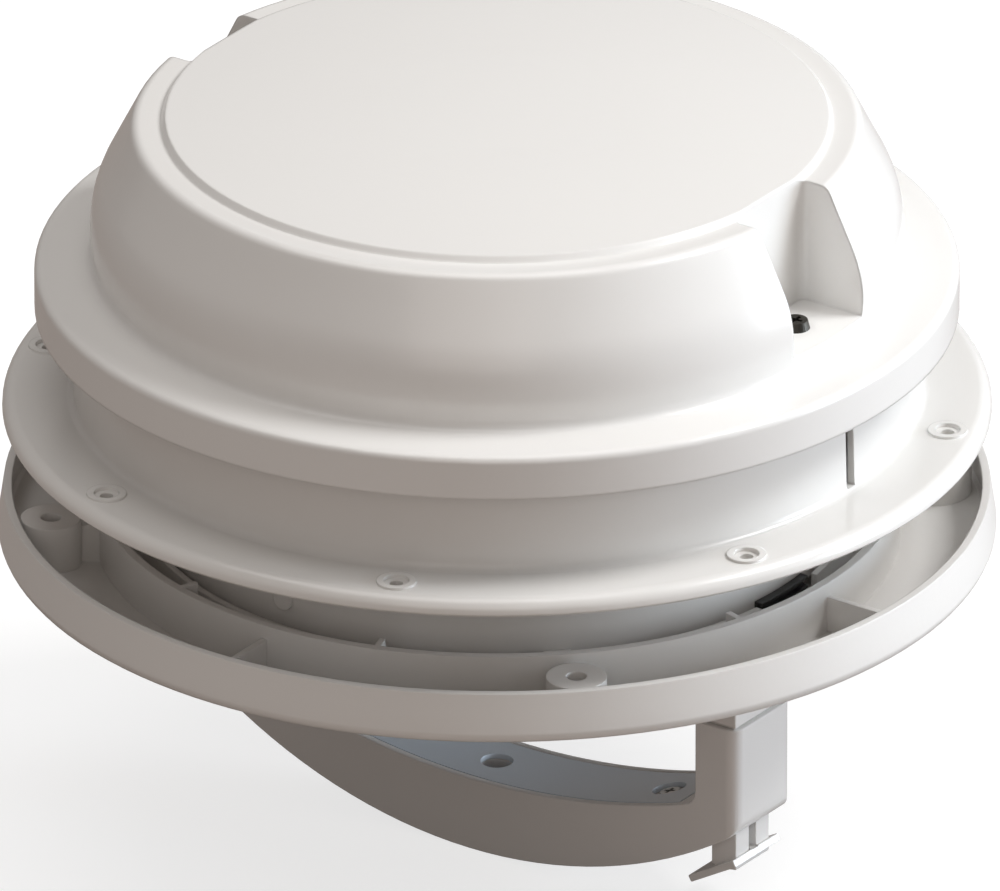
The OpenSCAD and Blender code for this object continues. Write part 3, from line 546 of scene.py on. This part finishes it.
# Dome: the glossy white lid, one moulding with a flat raised panel on top, a bulging wall,
# a ledge and an upright rim. Two pockets in the wall hold the dark screws.
dome_white = finish(
    "dome_white_abs", (0.82, 0.812, 0.795), (0.79, 0.78, 0.762), (0.20, 0.27), 360.0, 0.035,
    flow_size=7.0, worn=0.0013, Specular_IOR_Level=0.6, Coat_Weight=0.25, Coat_Roughness=0.14,
)
dress("dome", dome_white, edge=0.0)


# Struts: white channel mouldings that carry the dome. They slide in the shoes of the
# flange, and their tenons sit in the handle's posts.
dress("strut_right", ceiling_white, edge=0.0005, steps=3)
dress("strut_left", ceiling_white, edge=0.0005, steps=3)


# Dome screws: one in each pocket, blackened steel, down through the pocket's floor into
# the strut's lug.
black_steel = finish(
    "blackened_steel", (0.040, 0.038, 0.034), (0.075, 0.070, 0.060), (0.32, 0.48), 900.0, 0.15,
    flow_size=300.0, Metallic=0.85,
)
DARK_SCREW_X = 0.105
DARK_HEAD_H = 0.0026
floor_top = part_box("dome_screws")[1].z - DARK_HEAD_H
screws(
    "dome_screws", "lid", [(DARK_SCREW_X, 0, floor_top), (-DARK_SCREW_X, 0, floor_top)],
    [(0, 0, 1)] * 2, black_steel, 0.0042, DARK_HEAD_H, 0.002, 0.0085,
)


# Bow handle: a hollow white bow with two upright posts, gripped from the room to push the
# dome up. Its edges are rounded for the hand.
handle_white = finish(
    "handle_white_abs", (0.775, 0.765, 0.75), (0.745, 0.735, 0.72), (0.20, 0.28), 400.0, 0.05,
    Specular_IOR_Level=0.5, Coat_Weight=0.15, Coat_Roughness=0.1,
)
dress("bow_handle", handle_white, edge=0.0006, steps=3)


# Bow cover: a thin curved plate that closes the bow's channel from above, held by a steel
# screw at each end. Its grey is tinted blue as a painted reflection of cool light from above.
# The plate is grey; the blue in both colours below is painted reflection of cool light.
cover_grey_painted_blue_reflection = finish(
    "cover_grey_white", (0.66, 0.73, 0.80), (0.63, 0.70, 0.77), (0.16, 0.22), 400.0, 0.05,
    Specular_IOR_Level=0.55, Coat_Weight=0.2, Coat_Roughness=0.06,
)
dress("bow_cover", cover_grey_painted_blue_reflection, edge=0.0003)
BOW_TOP_R = 0.235
BOW_TOP_MIDDLE = -0.1145
COVER_SCREW_X = 0.061
COVER_SCREW_SINK = 0.0028
POST_SCREW_X, POST_SCREW_Y, POST_SCREW_Z = 0.0816, 0.0075, -0.080
lean = math.asin(COVER_SCREW_X / BOW_TOP_R)
curve_z = BOW_TOP_MIDDLE + BOW_TOP_R - BOW_TOP_R * math.cos(lean)
seats, ups = [], []
for side in (-1, 1):
    up_x, up_z = -side * math.sin(lean), math.cos(lean)
    seats.append(
        (side * COVER_SCREW_X - COVER_SCREW_SINK * up_x, 0.0, curve_z - COVER_SCREW_SINK * up_z)
    )
    ups.append((up_x, 0.0, up_z))
screws("cover_screws", "lid", seats, ups, zinc_steel, 0.0036, 0.002, 0.0016, 0.010)
screws(
    "post_screws", "lid",
    [(POST_SCREW_X, POST_SCREW_Y, POST_SCREW_Z), (-POST_SCREW_X, -POST_SCREW_Y, POST_SCREW_Z)],
    [(-1, 0, 0), (1, 0, 0)], zinc_steel, 0.0027, 0.0014, 0.0014, 0.00325,
)


# Latch: a white trigger that slides in the right-hand post, the steel rod above it and
# the coil spring that pushes it down.
dress("latch_trigger", handle_white, edge=0.0004, steps=3)
dress("latch_rod", zinc_steel, edge=0.0003)
spring_wire = bpy.data.objects.new("latch_spring_wire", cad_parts["latch_spring"].data.copy())
bpy.context.scene.collection.objects.link(spring_wire)
spring_wire.data.materials.clear()
spring_wire.data.materials.append(zinc_steel)
for face in spring_wire.data.polygons:
    face.use_smooth = True
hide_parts("latch_spring")
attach(spring_wire, "lid")
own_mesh(spring_wire)


# Studio: a white floor and surround that show as white to the camera and keep the vent's
# shadow, lamps from above and from the upper right, a cool one low on the right and a weak
# warm one in front.
def mixed_for_camera(tree, others, camera_sees, output):
    """Shows the camera one surface, and lights everything else with another."""
    ray = tree.nodes.new("ShaderNodeLightPath")
    choose = tree.nodes.new("ShaderNodeMixShader")
    out = tree.nodes.new(output)
    tree.links.new(ray.outputs["Is Camera Ray"], choose.inputs[0])
    tree.links.new(others.outputs[0], choose.inputs[1])
    tree.links.new(camera_sees.outputs[0], choose.inputs[2])
    tree.links.new(choose.outputs[0], out.inputs["Surface"])


FLOOR_Z = solid_box[0].z
FLOOR_HALF = 6
corners = [(-1, -1), (1, -1), (1, 1), (-1, 1)]
floor_mesh = bpy.data.meshes.new("studio_floor")
floor_mesh.from_pydata(
    [(x * FLOOR_HALF, y * FLOOR_HALF, FLOOR_Z) for x, y in corners], [], [(0, 1, 2, 3)]
)
floor = bpy.data.objects.new("studio_floor", floor_mesh)
bpy.context.scene.collection.objects.link(floor)
floor_paint = bpy.data.materials.new("studio_floor")
floor_paint.use_nodes = True
n, l = floor_paint.node_tree.nodes, floor_paint.node_tree.links
n.clear()
matte = n.new("ShaderNodeBsdfDiffuse")
matte.inputs["Color"].default_value = (0.36, 0.36, 0.36, 1.0)
glow = n.new("ShaderNodeEmission")
glow.inputs["Strength"].default_value = 0.72
both = n.new("ShaderNodeAddShader")
l.new(matte.outputs[0], both.inputs[0])
l.new(glow.outputs[0], both.inputs[1])
plain = n.new("ShaderNodeBsdfDiffuse")
plain.inputs["Color"].default_value = (0.33, 0.285, 0.26, 1.0)
mixed_for_camera(floor_paint.node_tree, plain, both, "ShaderNodeOutputMaterial")
floor_mesh.materials.append(floor_paint)

world = bpy.data.worlds.new("studio")
bpy.context.scene.world = world
world.use_nodes = True
n = world.node_tree.nodes
n.clear()
room = n.new("ShaderNodeBackground")
room.inputs["Color"].default_value = (1.0, 0.92, 0.865, 1.0)
room.inputs["Strength"].default_value = 0.25
white = n.new("ShaderNodeBackground")
white.inputs["Strength"].default_value = 1.0
white.inputs["Color"].default_value = (1.0, 1.0, 1.0, 1.0)
mixed_for_camera(world.node_tree, room, white, "ShaderNodeOutputWorld")

to_right = Vector((-math.sin(turn), math.cos(turn), 0.0))
to_front = Vector((math.cos(turn), math.sin(turn), 0.0))
UP = Vector((0.0, 0.0, 1.0))


def lamp(name, spot, size, energy, colour):
    """A square area lamp that faces the vent."""
    light = bpy.data.lights.new(name, "AREA")
    light.shape = "SQUARE"
    light.size = size
    light.energy = energy
    light.color = colour
    made = bpy.data.objects.new(name, light)
    made.location = spot
    made.rotation_euler = (-Vector(spot)).to_track_quat("-Z", "Y").to_euler()
    bpy.context.scene.collection.objects.link(made)


lamp("upper_right", to_right * 1.5 + to_front * -0.1 + UP * 1.75, 0.9, 38.0, (1.0, 1.0, 1.0))
lamp("overhead", to_right * -0.3 + to_front * 0.1 + UP * 2.5, 2.0, 20.0, (1.0, 0.99, 0.98))
lamp("low_right", to_right * 2.1 + to_front * -0.1 + UP * 0.1, 1.1, 45.0, (0.80, 0.90, 1.0))
lamp("front_soft", to_right * -0.3 + to_front * 2.5 + UP * 0.8, 1.6, 6.5, (1.0, 0.91, 0.85))

bpy.context.scene.view_settings.view_transform = "Standard"
